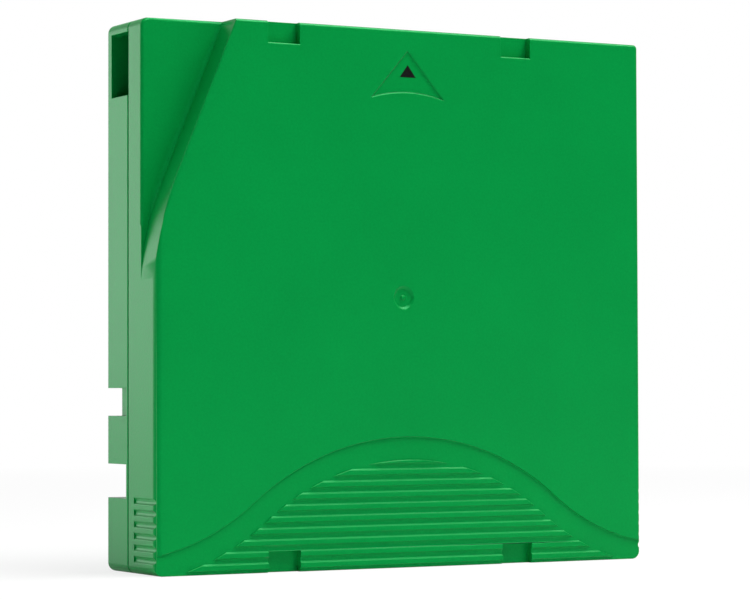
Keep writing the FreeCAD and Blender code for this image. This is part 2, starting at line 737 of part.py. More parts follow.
def upper_shell():
    """The arrow side of the case, with its moulded face and the bars of the grip field."""
    half = case_blank("upper_case", "parting", FACE, sheet.thickness)
    half.cut("cavity", rectangle(f"-{INNER_X}", INNER_X, "side_wall", "depth - side_wall"),
             f"parting - {OVERRUN}", INSIDE_FACE)
    insertion_guide(half)
    chamber(half, "parting", INSIDE_FACE)
    notch_backings(half)
    for name, x, z in BOSSES:
        half.add(f"boss_{name}", circle(x, z, "boss_radius"), "parting", f"{GUIDE} - guide_wall / 2"
                 if name == "front_left" else INSIDE_FACE)
        half.cut(f"bore_{name}", circle(x, z, "screw_radius + screw_gap"), f"parting - {OVERRUN}",
                 "parting + screw_hole")
    door_way(half, f"parting - {OVERRUN}", INSIDE_FACE, f"{INSIDE_FACE} - {OVERRUN}", f"{INSIDE_FACE} + door_groove")
    pin_cradle(half, f"{INSIDE_FACE} - cradle_rise", INSIDE_FACE)
    brake_key(half)
    grip_edge(half)
    half.cut("grip_field", bell_outline(0, -OVERRUN, sheet.width / 2 + OVERRUN),
             f"{FACE} - bell_depth", f"{FACE} + {OVERRUN}")
    edge_notches(half, f"{FACE} - notch_depth")
    shelf = sheet.depth - sheet.notch_reach
    half.soften("Chamfer", "notch_lips", "notch_lip",
                on_face_within(sheet.notch_left_x, sheet.notch_right_x + sheet.notch_width, shelf, shelf))
    arrow_recess(half)
    dimple(half)
    finger_grooves(half)
    label_recess(half, f"parting - {OVERRUN}", "thickness - label_margin")
    shell = doc.addObject("Part::Fuse", "upper_shell")
    shell.Label = "upper_shell"
    shell.Base = half.body
    shell.Tool = grip_bars()
    return shell


def crown_teeth(piece, name, root, tip, shift):
    """A ring of straight teeth on a level, pointing from their root level to their tip level."""
    middle = "0" if not shift else "(gear_inner + gear_outer) / 2 * sin(180 / tooth_count * 1 deg)"
    profile = polygon((root, f"{middle} - tooth_root / 2"), (tip, f"{middle} - tooth_tip / 2"),
                      (tip, f"{middle} + tooth_tip / 2"), (root, f"{middle} + tooth_root / 2"))
    sketch = piece.side_sketch(name, profile, "gear_outer")
    tooth = piece.feature("Pad", name, sketch, "gear_outer - gear_inner")
    piece.repeat_round(tooth, "tooth_count")


def reel_hub():
    """Hub cup and lower flange in one, with the drive gear outside and the brake gear inside."""
    hub = Piece("reel_hub", ("reel_x", "reel_z"))
    roof = "reel_level + well_roof"
    hub.revolve("Revolution", "turned", polygon(
        ("0", roof), ("well_radius", roof), ("well_radius", "reel_level"), ("flange_radius", "reel_level"),
        ("flange_radius", "reel_level + flange_thickness"), ("hub_radius", "reel_level + flange_thickness"),
        ("hub_radius", UPPER_FLANGE), ("hub_radius - hub_wall", UPPER_FLANGE),
        ("hub_radius - hub_wall", HUB_FLOOR), ("gear_outer", HUB_FLOOR), ("gear_outer", BRAKE_RING),
        ("gear_inner", BRAKE_RING), ("gear_inner", HUB_FLOOR), ("well_radius + well_wall", HUB_FLOOR),
        ("well_radius + well_wall", f"{roof} + well_roof_wall"), ("0", f"{roof} + well_roof_wall")))
    hole = hub.cut("leg_hole", circle("leg_circle", "0", "leg_radius + leg_gap"), "reel_level",
                   f"{roof} + well_roof_wall + {OVERRUN}")
    hub.repeat_round(hole, "leg_count")
    hub.add("gear_base", ring("gear_inner", "gear_outer"), "reel_level - gear_base", "reel_level")
    crown_teeth(hub, "drive_tooth", "reel_level - gear_base", "reel_level - gear_base - tooth_height", False)
    crown_teeth(hub, "brake_tooth", BRAKE_RING, f"{BRAKE_RING} + tooth_height", False)
    return hub.body


def reel_upper_flange():
    """The second flange, with a spigot that seats in the hub's mouth."""
    flange = Piece("reel_upper_flange", ("reel_x", "reel_z"))
    inner = "hub_radius - hub_wall - spigot_gap - spigot_wall"
    flange.add("disc", ring(inner, "flange_radius"), UPPER_FLANGE, f"{UPPER_FLANGE} + flange_thickness")
    flange.add("spigot", ring(inner, "hub_radius - hub_wall - spigot_gap"), f"{UPPER_FLANGE} - spigot_length",
               UPPER_FLANGE)
    return flange.body


def reel_drive_plate():
    plate = Piece("reel_drive_plate", ("reel_x", "reel_z"))
    plate.add("washer", ring("plate_inner", "plate_outer"), PLATE_LEVEL, "reel_level")
    return plate.body


def tape_pack():
    """The wound tape, from the hub out to its last turn."""
    pack = Piece("tape_pack", ("reel_x", "reel_z"))
    pack.add("turns", ring("hub_radius", "pack_radius"), TAPE_LOW, f"{TAPE_LOW} + tape_width")
    return pack.body


def tape_free_run():
    """The tape between the last turn and the leader pin."""
    run = Piece("tape_free_run")
    inner = "(reel_x + pack_radius + tape_clear)"
    end = "(pin_z - pin_radius - clip_gap)"
    run.add("span", rectangle(inner, f"{inner} + tape_thickness", "reel_z", end), TAPE_LOW,
            f"{TAPE_LOW} + tape_width")
    return run.body


def brake_button():
    """A toothed disc that locks the hub, with a cross-shaped socket for the case's post."""
    button = Piece("brake_button", ("reel_x", "reel_z"))
    top = f"{BRAKE_PLATE} + brake_plate"
    button.add("disc", circle("0", "0", "brake_outer"), BRAKE_PLATE, top)
    button.add("socket", circle("0", "0", "socket_radius"), top, f"{top} + socket_height")
    half_length, half_thickness = "(key_length / 2 + key_gap)", "(key_thickness / 2 + key_gap)"
    for name, x, z in (("across", half_length, half_thickness), ("up", half_thickness, half_length)):
        button.cut(f"socket_{name}", rectangle(f"-{x}", x, f"-{z}", z), f"{top} + socket_floor",
                   f"{top} + socket_height + {OVERRUN}")
    crown_teeth(button, "lock_tooth", BRAKE_PLATE, f"{BRAKE_PLATE} - tooth_height", True)
    return button.body


def release_pad():
    """The three-cornered pad that a drive pushes to lift the brake through its three legs."""
    pad = Piece("release_pad", ("reel_x", "reel_z"))
    reach = "(leg_circle + pad_corner_radius)"
    corners = [(f"{reach} * cos({turn} * 1 deg) + pad_corner_radius * cos({turn} * 1 deg)",
                f"{reach} * sin({turn} * 1 deg) + pad_corner_radius * sin({turn} * 1 deg)")
               for turn in (0, 120, 240)]
    pad.add("plate", polygon(*corners), PLATE_LEVEL, f"{PLATE_LEVEL} + pad_thickness")
    pad.soften("Fillet", "corners", "pad_corner_radius",
               lambda edge: near(edge.BoundBox.XLength, 0) and near(edge.BoundBox.ZLength, 0))
    leg = pad.add("leg", circle("leg_circle", "0", "leg_radius"), f"{PLATE_LEVEL} + pad_thickness",
                  f"{BRAKE_PLATE} - leg_top_gap")
    pad.repeat_round(leg, "leg_count")
    return pad.body


def coil(spring, sketch, height, turns):
    """A round wire along a helix about its sketch's upright axis."""
    helix = spring.body.newObject("PartDesign::AdditiveHelix", f"{spring.name}_coil")
    helix.Profile = sketch
    helix.ReferenceAxis = (sketch, ["V_Axis"])
    helix.Mode = "height-turns-angle"
    helix.setExpression("Height", bound(height))
    helix.setExpression("Turns", bound(turns))
    return spring.body


def brake_spring():
    """The compression spring between the brake button and the arrow face."""
    spring = Piece("brake_spring", ("reel_x", "reel_z"))
    low = f"({BRAKE_PLATE} + brake_plate)"
    wire = circle("brake_coil_radius", f"{low} + brake_wire_radius", "brake_wire_radius")
    sketch = spring.turned_sketch("wire", wire)
    return coil(spring, sketch, f"{INSIDE_FACE} - {low} - 2 * brake_wire_radius", "brake_coil_turns")


def leader_pin():
    """The pin that a drive pulls the tape out by, with a head at each end."""
    pin = Piece("leader_pin", ("pin_x", "pin_z"))
    pin.revolve("Revolution", "turned", polygon(
        ("0", PIN_LOW), ("pin_head_radius - pin_head_bevel", PIN_LOW),
        ("pin_head_radius", f"{PIN_LOW} + pin_head_bevel"), ("pin_head_radius", f"{PIN_LOW} + pin_head_length"),
        ("pin_radius", f"{PIN_LOW} + pin_head_length"), ("pin_radius", f"{PIN_HIGH} - pin_head_length"),
        ("pin_head_radius", f"{PIN_HIGH} - pin_head_length"), ("pin_head_radius", f"{PIN_HIGH} - pin_head_bevel"),
        ("pin_head_radius - pin_head_bevel", PIN_HIGH), ("0", PIN_HIGH)))
    return pin.body


def leader_pin_clip():
    """The split sleeve that holds the tape's end on the pin."""
    clip = Piece("leader_pin_clip", ("pin_x", "pin_z"))
    inner = "(pin_radius + clip_gap)"
    high = f"{TAPE_LOW} + tape_width"
    clip.add("sleeve", ring(inner, f"{inner} + clip_wall"), TAPE_LOW, high)
    clip.cut("mouth", rectangle("-clip_mouth / 2", "clip_mouth / 2", f"-{inner} - clip_wall - {OVERRUN}", "0"),
             TAPE_LOW, high)
    return clip.body


def pin_spring(name, low):
    """A spring-steel clamp that holds one head of the leader pin in its cradle."""
    clamp = Piece(name, ("pin_x", "pin_z"))
    high = f"{low} + clamp_height"
    clamp.add("bow", circle("0", "0", CLAMP_OUTER), low, high)
    clamp.add("arms", rectangle("0", "clamp_reach", f"-{CLAMP_OUTER}", CLAMP_OUTER), low, high)
    clamp.cut("inside_bow", circle("0", "0", CLAMP_INNER), low, high)
    clamp.cut("inside_arms", rectangle("0", f"clamp_reach + {OVERRUN}", f"-{CLAMP_INNER}", CLAMP_INNER), low, high)
    return clamp.body


def tape_door():
    """The sliding door over the leader pin, with the lug that a drive pushes."""
    door = Piece("tape_door")
    door.add("plate", rectangle(DOOR_INNER, DOOR_OUTER, DOOR_FOOT, DOOR_TOP),
             "back_wall - door_groove + door_gap", f"{INSIDE_FACE} + door_groove - door_gap")
    lug_top = "(door_window_high - protect_gap)"
    door.add("lug", rectangle(DOOR_OUTER, "width / 2 - door_gap", f"{lug_top} - lug_length", lug_top),
             "lug_level_low", "lug_level_high")
    door.add("heel", rectangle(f"{DOOR_INNER} - heel_reach / 2", DOOR_INNER, DOOR_FOOT, f"{DOOR_FOOT} + heel_height"),
             "door_spring_level - heel_height", "door_spring_level + heel_height")
    return door.body


def door_spring():
    """The compression spring that pushes the door shut from its stop."""
    spring = Piece("door_spring", (f"({DOOR_INNER} - door_coil_radius / 2)", "0"))
    wire = circle("door_coil_radius", "door_spring_end + door_wire_radius", "door_wire_radius")
    sketch = spring.layer_sketch("wire", wire, "door_spring_level")
    return coil(spring, sketch, f"{DOOR_FOOT} - door_spring_end - 2 * door_wire_radius", "door_coil_turns")


def write_protect_tab():
    """A slider behind the rear wall, with its button in the wall's window."""
    tab = Piece("write_protect_tab")
    left = "(protect_left + protect_gap)"
    plate_left = f"(-{INNER_X} + door_gap)"
    wall = "(side_wall + door_gap)"
    tab.add("plate", rectangle(plate_left, f"{plate_left} + protect_plate", wall, f"{wall} + protect_plate_thickness"),
            "back_wall + door_gap", "protect_high")
    tab.add("button", rectangle(left, f"{left} + protect_button", "protect_sink", wall),
            "protect_low + protect_gap", "protect_high - protect_gap")
    return tab.body


def memory_board():
    board = Piece("memory_board")
    board.add("board", slanted("board_x", "board_z", "board_length", "board_thickness"), "back_wall",
              "back_wall + board_height")
    return board.body


def memory_chip():
    """The sealed chip in the middle of the board's inner face."""
    chip = Piece("memory_chip")
    lift = "(board_thickness + chip_thickness) / 2"
    middle = "(back_wall + board_height / 2)"
    chip.add("chip", slanted(f"board_x - {lift} * sin(board_angle * 1 deg)",
                             f"board_z + {lift} * cos(board_angle * 1 deg)", "chip_size", "chip_thickness"),
             f"{middle} - chip_size / 2", f"{middle} + chip_size / 2")
    return chip.body


def primitive(kind, name, x, z, level, **bindings):
    """A Part primitive along Y from a level towards the arrow face."""
    item = doc.addObject(kind, name)
    item.Placement = FreeCAD.Placement(FreeCAD.Vector(0, 0, 0), FreeCAD.Rotation(FreeCAD.Vector(1, 0, 0), 90))
    for axis, words in zip("xyz", (x, f"thickness / 2 - ({level})", z)):
        item.setExpression(f"Placement.Base.{axis}", bound(words))
    for prop, words in bindings.items():
        item.setExpression(prop, bound(words))
    return item


def case_screws():
    """The four screws that close the case, as one group of separate solids."""
    group = doc.addObject("Part::Compound", "case_screws")
    group.Label = "case_screws"
    screws = []
    for name, x, z in BOSSES:
        head = primitive("Part::Cylinder", f"screw_head_{name}", x, z, "screw_seat - screw_head_height",
                         Radius="screw_head_radius", Height="screw_head_height")
        shank = primitive("Part::Cylinder", f"screw_shank_{name}", x, z, "screw_seat",
                          Radius="screw_radius", Height="screw_length")
        solid = doc.addObject("Part::Fuse", f"screw_solid_{name}")
        solid.Base, solid.Tool = head, shank
        socket = primitive("Part::Prism", f"screw_socket_{name}", x, z,
                           f"screw_seat - screw_head_height - {OVERRUN}", Circumradius="screw_drive_radius",
                           Height=f"screw_drive_depth + {OVERRUN}")
        screw = doc.addObject("Part::Cut", f"screw_{name}")
        screw.Base, screw.Tool = solid, socket
        screws.append(screw)
    group.Links = screws
    return group


def check(pieces):
    """Stop at an object that failed or a piece without one valid closed shape."""
    for item in doc.Objects:
        if "Invalid" in item.State or "Error" in item.State:
            raise RuntimeError(f"{item.Name} failed: {item.State}")
    for piece in pieces:
        shape = piece.Shape
        if shape.isNull() or not shape.isValid() or not shape.Solids:
            raise RuntimeError(f"{piece.Label} has no valid solid")


def main():
    fill_sheet()
    pieces = [
        lower_shell(), upper_shell(), tape_door(), door_spring(), leader_pin(), leader_pin_clip(),
        pin_spring("pin_spring_lower", PIN_LOW), pin_spring("pin_spring_upper", f"{PIN_HIGH} - clamp_height"),
        reel_hub(), reel_upper_flange(), reel_drive_plate(), tape_pack(), tape_free_run(),
        brake_button(), brake_spring(), release_pad(), write_protect_tab(), memory_board(), memory_chip(),
        case_screws(),
    ]
    doc.recompute()
    check(pieces)
    os.makedirs("parts", exist_ok=True)
    for piece in pieces:
        piece.Shape.exportStep(f"parts/{piece.Label}.step")
        print(f"{piece.Label}: {len(piece.Shape.Solids)} solid, {piece.Shape.Volume:.1f} cubic mm")


main()
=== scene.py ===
"""Finishes a half-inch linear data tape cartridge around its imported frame.

Lengths are metres in the frame's own axes: +X to the right of the arrow face, +Y from the arrow
face to the drive face and +Z the way the cartridge goes into a drive.
"""

import json
import logging
import math
from dataclasses import dataclass
from enum import Enum

import bmesh
import bpy
import numpy as np
from mathutils import Matrix, Vector

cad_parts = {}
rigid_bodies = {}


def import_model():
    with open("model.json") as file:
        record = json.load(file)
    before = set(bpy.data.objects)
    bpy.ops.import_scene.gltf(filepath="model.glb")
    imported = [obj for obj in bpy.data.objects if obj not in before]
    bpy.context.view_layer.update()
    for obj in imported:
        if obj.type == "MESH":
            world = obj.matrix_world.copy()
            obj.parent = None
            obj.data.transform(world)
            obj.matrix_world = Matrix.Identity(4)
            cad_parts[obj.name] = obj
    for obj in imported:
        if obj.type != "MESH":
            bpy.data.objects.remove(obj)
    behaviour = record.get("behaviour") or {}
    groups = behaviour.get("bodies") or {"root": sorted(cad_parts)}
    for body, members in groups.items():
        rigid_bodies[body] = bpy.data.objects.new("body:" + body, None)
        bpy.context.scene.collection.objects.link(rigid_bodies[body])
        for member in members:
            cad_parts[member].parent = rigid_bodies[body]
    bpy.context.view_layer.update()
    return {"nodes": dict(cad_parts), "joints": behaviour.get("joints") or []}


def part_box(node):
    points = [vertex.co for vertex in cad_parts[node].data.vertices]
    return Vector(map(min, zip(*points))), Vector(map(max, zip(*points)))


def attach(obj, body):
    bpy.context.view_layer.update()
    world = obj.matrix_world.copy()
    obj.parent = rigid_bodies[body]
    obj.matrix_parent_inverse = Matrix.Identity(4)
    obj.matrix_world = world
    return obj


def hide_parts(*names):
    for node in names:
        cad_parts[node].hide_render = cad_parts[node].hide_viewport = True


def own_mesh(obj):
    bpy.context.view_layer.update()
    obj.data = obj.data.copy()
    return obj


MM = 0.001
FULL_TURN = 2 * math.pi
WHITE = (1.0, 1.0, 1.0)
SPRING_GREY = (0.55, 0.55, 0.56)
LOG = logging.getLogger("cartridge")


class Body(Enum):
    """The bodies of the cartridge that new pieces ride on."""

    CASE = "case"
    DOOR = "door"
    SLIDER = "protect_slider"


class Axis(Enum):
    """The frame's axes as unit vectors."""

    X = (1.0, 0.0, 0.0)
    Y = (0.0, 1.0, 0.0)
    Z = (0.0, 0.0, 1.0)


def scaled(colour: tuple, by: float) -> tuple:
    """Returns a colour made lighter or darker, and no lighter than white."""
    return tuple(min(1.0, part * by) for part in colour)


class Maths:
    """A number that varies over a surface. Sums, products and powers of it add Math nodes."""

    def __init__(self, graph: "Graph", socket: bpy.types.NodeSocket) -> None:
        """Wraps one socket of a graph."""
        self.graph = graph
        self.socket = socket

    def apply(self, operation: str, *values: "Maths | float") -> "Maths":
        """Adds one Math node.

        Args:
            operation: the node's operation.
            values: the inputs, in order.
        Returns:
            The node's result.
        """
        node = self.graph.node("ShaderNodeMath", {"operation": operation}, dict(enumerate(values)))
        return Maths(self.graph, node.outputs[0])

    def __add__(self, other: "Maths | float") -> "Maths":
        """Returns self + other."""
        return self.apply("ADD", self, other)

    __radd__ = __add__

    def __sub__(self, other: "Maths | float") -> "Maths":
        """Returns self - other."""
        return self.apply("SUBTRACT", self, other)

    def __rsub__(self, other: float) -> "Maths":
        """Returns other - self."""
        return self.apply("SUBTRACT", other, self)

    def __mul__(self, other: "Maths | float") -> "Maths":
        """Returns self times other."""
        return self.apply("MULTIPLY", self, other)

    __rmul__ = __mul__

    def __pow__(self, other: float) -> "Maths":
        """Returns self to the power of other."""
        return self.apply("POWER", self, other)

    def __abs__(self) -> "Maths":
        """Returns self without its sign."""
        return self.apply("ABSOLUTE", self)

    def wave(self) -> "Maths":
        """Returns the sine of self, moved into the range 0 to 1."""
        return self.apply("SINE", self) * 0.5 + 0.5

    def over(self, limit: float, blur: float) -> "Maths":
        """Returns 0 below limit and 1 above it, with a straight rise of blur between."""
        node = self.graph.node(
            "ShaderNodeMapRange",
            {"clamp": True},
            {0: self, 1: limit - blur / 2, 2: limit + blur / 2, 3: 0.0, 4: 1.0},
        )
        return Maths(self.graph, node.outputs[0])


class Graph:
    """The nodes of a material or of the world."""

    def __init__(self, tree: bpy.types.NodeTree) -> None:
        """Takes a node tree and empties it."""
        self.tree = tree
        self.tree.nodes.clear()

    def node(self, kind: str, settings: dict, inputs: dict) -> bpy.types.Node:
        """Adds a node.

        Args:
            kind: the node's type.
            settings: its properties, which are set first.
            inputs: values or links by socket name or number.
        Returns:
            The node.
        """
        node = self.tree.nodes.new(kind)
        for name, value in settings.items():
            setattr(node, name, value)
        for key, value in inputs.items():
            self.feed(node.inputs[key], value)
        return node

    def feed(
        self,
        socket: bpy.types.NodeSocket,
        value: "Maths | float | tuple | bpy.types.NodeSocket",
    ) -> None:
        """Gives an input socket a value, or links it. A colour of three parts becomes opaque."""
        if isinstance(value, Maths):
            value = value.socket
        if isinstance(value, bpy.types.NodeSocket):
            self.tree.links.new(value, socket)
        elif socket.type == "RGBA":
            socket.default_value = (*value, 1.0)
        else:
            socket.default_value = value

    def axes(self, vector: bpy.types.NodeSocket) -> tuple[Maths, Maths, Maths]:
        """Returns the three parts of a vector."""
        split = self.node("ShaderNodeSeparateXYZ", {}, {0: vector})
        return tuple(Maths(self, out) for out in split.outputs)

    def rays(self) -> tuple[Maths, Maths]:
        """Returns whether a ray comes from the camera, and whether it is a reflection."""
        path = self.node("ShaderNodeLightPath", {}, {})
        return Maths(self, path.outputs["Is Camera Ray"]), Maths(self, path.outputs["Is Glossy Ray"])


class Painter(Graph):
    """Builds the nodes of one material."""

    def __init__(self, name: str) -> None:
        """Makes an empty material of that name with a Principled shader on its output."""
        self.material = bpy.data.materials.new(name)
        self.material.use_nodes = True
        super().__init__(self.material.node_tree)
        self.shader = self.node("ShaderNodeBsdfPrincipled", {}, {})
        self.output = self.node("ShaderNodeOutputMaterial", {}, {"Surface": self.shader.outputs[0]})
        self.place = self.node("ShaderNodeTexCoord", {}, {}).outputs["Object"]

    def centred(self, centre: tuple, turn: tuple = (0.0, 0.0, 0.0)) -> bpy.types.NodeSocket:
        """Returns Object coordinates measured from a centre, then turned by Euler angles."""
        shift = self.node("ShaderNodeVectorMath", {"operation": "SUBTRACT"}, {0: self.place, 1: centre})
        turned = self.node(
            "ShaderNodeMapping",
            {"vector_type": "POINT"},
            {"Vector": shift.outputs[0], "Rotation": turn},
        )
        return turned.outputs[0]

    def from_axis(self, centre: tuple) -> Maths:
        """Returns the distance from the axis along Y through a centre."""
        across, _, up = self.axes(self.centred(centre))
        return (across * across + up * up) ** 0.5

    def noise(self, grain: float, detail: float = 2.0, vector: bpy.types.NodeSocket | None = None) -> Maths:
        """Returns noise from 0 to 1 whose grains are that many metres across."""
        made = self.node(
            "ShaderNodeTexNoise",
            {},
            {"Vector": vector or self.place, "Scale": 1.0 / grain, "Detail": detail},
        )
        return Maths(self, made.outputs[0])

    def tint(
        self,
        first: tuple | bpy.types.NodeSocket,
        second: tuple | bpy.types.NodeSocket,
        share: Maths,
    ) -> bpy.types.NodeSocket:
        """Returns a mix of two colours, each plain or varying, by the second one's share from 0 to 1."""
        mixed = self.node("ShaderNodeMix", {"data_type": "RGBA"}, {"Factor": share, 6: first, 7: second})
        return mixed.outputs[2]

    def relief(self, height: Maths, depth: float) -> None:
        """Raises the surface by a height from 0 to 1 times depth metres."""
        bump = self.node("ShaderNodeBump", {}, {"Height": height, "Strength": 1.0, "Distance": depth})
        self.feed(self.shader.inputs["Normal"], bump.outputs[0])

    def surface(self, **inputs: "Maths | float | tuple | bpy.types.NodeSocket") -> None:
        """Sets the shader's inputs. A name's underscores stand for spaces."""
        for name, value in inputs.items():
            self.feed(self.shader.inputs[name.replace("_", " ").title().replace("Ior", "IOR")], value)


@dataclass(frozen=True)
class MouldedPlastic:
    """Satin moulded plastic: a fine spark-eroded grain, faint flow clouds and a soft sheen."""

    name: str
    colour: tuple
    roughness: float = 0.34
    roughness_range: float = 0.16
    grain: float = 0.45 * MM
    grain_share: float = 0.6
    cloud: float = 22 * MM
    relief: float = 0.016 * MM
    mottle: float = 0.2
    ior: float = 1.48
    gloss_tint: tuple = WHITE
    parting: float | None = None
    parting_width: float = 0.22 * MM
    # Colour of the painted shade line that stands for the shadow in the gap at the parting.
    gap_shadow_colour: tuple = (0.0, 0.004, 0.001)

    def make(self) -> bpy.types.Material:
        """Returns the material.

        Where it has a parting, two mouldings meet at that Y, and a thin line of painted shade stands there
        for the shadow in the gap: its colour goes nearly black and it turns fully metallic, which takes away
        its sheen.
        """
        paint = Painter(self.name)
        grain = paint.noise(self.grain, detail=3.0)
        clouds = paint.noise(self.cloud)
        dark, light = scaled(self.colour, 1 - self.mottle), scaled(self.colour, 1 + self.mottle)
        colour = paint.tint(dark, light, grain * self.grain_share + clouds * (1 - self.grain_share))
        if self.parting is not None:
            # Painted shade: a near-black, fully metallic line at the parting stands for the shadow in the gap
            # between the two mouldings.
            _, level, _ = paint.axes(paint.place)
            line = 1 - abs(level - self.parting).over(self.parting_width / 2, self.parting_width / 4)
            colour = paint.tint(colour, self.gap_shadow_colour, line)
            paint.surface(metallic=line)
        paint.surface(
            base_color=colour,
            roughness=grain * self.roughness_range + (self.roughness - self.roughness_range / 2),
            ior=self.ior,
            specular_tint=self.gloss_tint,
        )
        paint.relief(grain, self.relief)
        return paint.material


@dataclass(frozen=True)
class PolishedPlastic:
    """Glossy moulded plastic with faint flow clouds and hairline scuffs."""

    name: str
    colour: tuple
    shade: float = 0.94
    cloud: float = 9 * MM
    scuff: float = 0.6 * MM
    roughness: float = 0.18
    scuff_roughness: float = 0.14
    ior: float = 1.5
    relief: float = 0.002 * MM

    def make(self) -> bpy.types.Material:
        """Returns the material."""
        paint = Painter(self.name)
        clouds = paint.noise(self.cloud, detail=3.0)
        scuffs = paint.noise(self.scuff, detail=6.0)
        paint.surface(
            base_color=paint.tint(scaled(self.colour, self.shade), self.colour, clouds),
            roughness=scuffs * self.scuff_roughness + self.roughness,
            ior=self.ior,
        )
        paint.relief(scuffs, self.relief)
        return paint.material


@dataclass(frozen=True)
class TurnedSteel:
    """Steel with fine rings round an axis along Y through its centre, as from a lathe."""

    name: str
    colour: tuple
    centre: tuple
    pitch: float = 0.12 * MM
    smudge: float = 4 * MM
    shade: float = 0.82
    roughness: float = 0.18
    ring_roughness: float = 0.1
    smudge_roughness: float = 0.15
    relief: float = 0.003 * MM

    def make(self) -> bpy.types.Material:
        """Returns the material. Its rings are sines of the distance from the axis."""
        paint = Painter(self.name)
        rings = (paint.from_axis(self.centre) * (FULL_TURN / self.pitch)).wave()
        smudge = paint.noise(self.smudge, detail=4.0)
        paint.surface(
            base_color=paint.tint(scaled(self.colour, self.shade), self.colour, rings * 0.5 + smudge * 0.5),
            metallic=1.0,
            roughness=rings * self.ring_roughness + smudge * self.smudge_roughness + self.roughness,
        )
        paint.relief(rings, self.relief)
        return paint.material


@dataclass(frozen=True)
class DrawnSteel:
    """Drawn or rolled steel with a fine smudged grain."""

    name: str
    colour: tuple
    roughness: float = 0.32
    roughness_range: float = 0.18
    streak: float = 0.25 * MM
    smudge: float = 3 * MM
    shade: float = 0.78
    relief: float = 0.003 * MM

    def make(self) -> bpy.types.Material:
        """Returns the material."""
        paint = Painter(self.name)
        streaks = paint.noise(self.streak, detail=5.0)
        smudge = paint.noise(self.smudge, detail=3.0)
        paint.surface(
            base_color=paint.tint(scaled(self.colour, self.shade), self.colour, streaks * 0.6 + smudge * 0.4),
            metallic=1.0,
            roughness=streaks * self.roughness_range + (self.roughness - self.roughness_range / 2),
        )
        paint.relief(streaks, self.relief)
        return paint.material


@dataclass(frozen=True)
class WoundTape:
    """Magnetic tape: a dark glossy web whose wound edges show the turns as uneven rings."""

    name: str
    colour: tuple
    centre: tuple
    turn: float = 0.35 * MM
    band: float = 4.5 * MM
    pale_gain: float = 2.6
    pale_least: float = 0.01
    roughness: float = 0.16
    turn_roughness: float = 0.25
    ior: float = 1.55
    relief: float = 0.01 * MM

    def make(self) -> bpy.types.Material:
        """Returns the material. The rings are noise of the distance from the reel's axis."""
        paint = Painter(self.name)
        ring = paint.node("ShaderNodeCombineXYZ", {}, {0: paint.from_axis(self.centre)}).outputs[0]
        turns = paint.noise(self.turn, detail=4.0, vector=ring)
        bands = paint.noise(self.band, vector=ring)
        pale = tuple(part * self.pale_gain + self.pale_least for part in self.colour)
        paint.surface(
            base_color=paint.tint(self.colour, pale, turns * 0.6 + bands * 0.4),
            roughness=turns * self.turn_roughness + self.roughness,
            ior=self.ior,
        )
        paint.relief(turns, self.relief)
        return paint.material


@dataclass(frozen=True)
class Laminate:
    """Circuit board laminate: woven glass under a green lacquer, with an aerial's loops of copper."""

    name: str
    colour: tuple
    centre: tuple
    tilt: float = math.radians(45)
    inner_loop: float = 2.75 * MM
    track: float = 0.75 * MM
    thread: float = 0.5 * MM
    thread_gain: float = 1.35
    track_colour: tuple = (0.05, 0.33, 0.16)
    roughness: float = 0.28
    weave_roughness: float = 0.08
    ior: float = 1.5
    relief: float = 0.03 * MM

    def make(self) -> bpy.types.Material:
        """Returns the material. A loop is where the square distance from the middle repeats."""
        paint = Painter(self.name)
        across, up, _ = paint.axes(paint.centred(self.centre, (0.0, self.tilt, 0.0)))
        threads = FULL_TURN / self.thread
        weave = (across * threads).wave() * (up * threads).wave()
        reach = across.apply("MAXIMUM", abs(across), abs(up))
        tracks = (reach * (FULL_TURN / self.track)).wave().over(0.5, 0.2)
        loops = tracks * reach.over(self.inner_loop, 0.1 * MM)
        base = paint.tint(self.colour, scaled(self.colour, self.thread_gain), weave)
        paint.surface(
            base_color=paint.tint(base, self.track_colour, loops),
            roughness=weave * self.weave_roughness + self.roughness,
            ior=self.ior,
        )
        paint.relief(loops * 0.8 + weave * 0.2, self.relief)
        return paint.material


@dataclass(frozen=True)
class PadInk:
    """Pad-printed black ink, slightly thin where the moulded grain stands up."""

    name: str
    colour: tuple
    thin_colour: tuple = (0.004, 0.012, 0.006)
    grain: float = 0.3 * MM
    thin_from: float = 0.62
    roughness: float = 0.5
    grain_roughness: float = 0.2
    gloss: float = 0.15
    relief: float = 0.01 * MM

    def make(self) -> bpy.types.Material:
        """Returns the material."""
        paint = Painter(self.name)
        grain = paint.noise(self.grain, detail=3.0)
        paint.surface(
            base_color=paint.tint(self.colour, self.thin_colour, grain.over(self.thin_from, 0.1)),
            roughness=grain * self.grain_roughness + self.roughness,
            specular_ior_level=self.gloss,
        )
        paint.relief(grain, self.relief)
        return paint.material


def surface_mesh(name: str, points: np.ndarray, closed: bool) -> bpy.types.Object:
    """Makes an object from a grid of points, one face for each cell of the grid.

    Args:
        name: the piece's name.
        points: an array of rows by columns by 3.
        closed: whether each row is a loop. The first and the last loop are then filled.
    Returns:
        The new object, linked to the scene.
    """
    rows, columns = points.shape[:2]
    number = np.arange(rows * columns).reshape(rows, columns)
    ends = [number[0].tolist(), number[-1][::-1].tolist()] if closed else []
    if closed:
        number = np.hstack([number, number[:, :1]])
    cells = np.stack([number[:-1, :-1], number[1:, :-1], number[1:, 1:], number[:-1, 1:]], axis=-1)
    mesh = bpy.data.meshes.new(name)
    mesh.from_pydata(points.reshape(-1, 3).tolist(), [], cells.reshape(-1, 4).tolist() + ends)
    mesh.validate()
    piece = bpy.data.objects.new(name, mesh)
    bpy.context.scene.collection.objects.link(piece)
    return piece


def smooth(piece: bpy.types.Object) -> None:
    """Shades every face of a piece smooth."""
    piece.data.polygons.foreach_set("use_smooth", np.ones(len(piece.data.polygons), bool))


def show(piece: bpy.types.Object, body: Body, material: bpy.types.Material) -> None:
    """Gives a new piece its material and its body."""
    piece.data.materials.clear()
    piece.data.materials.append(material)
    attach(piece, body.value)
    LOG.info("%s rides on %s: %d faces", piece.name, body.value, len(piece.data.polygons))


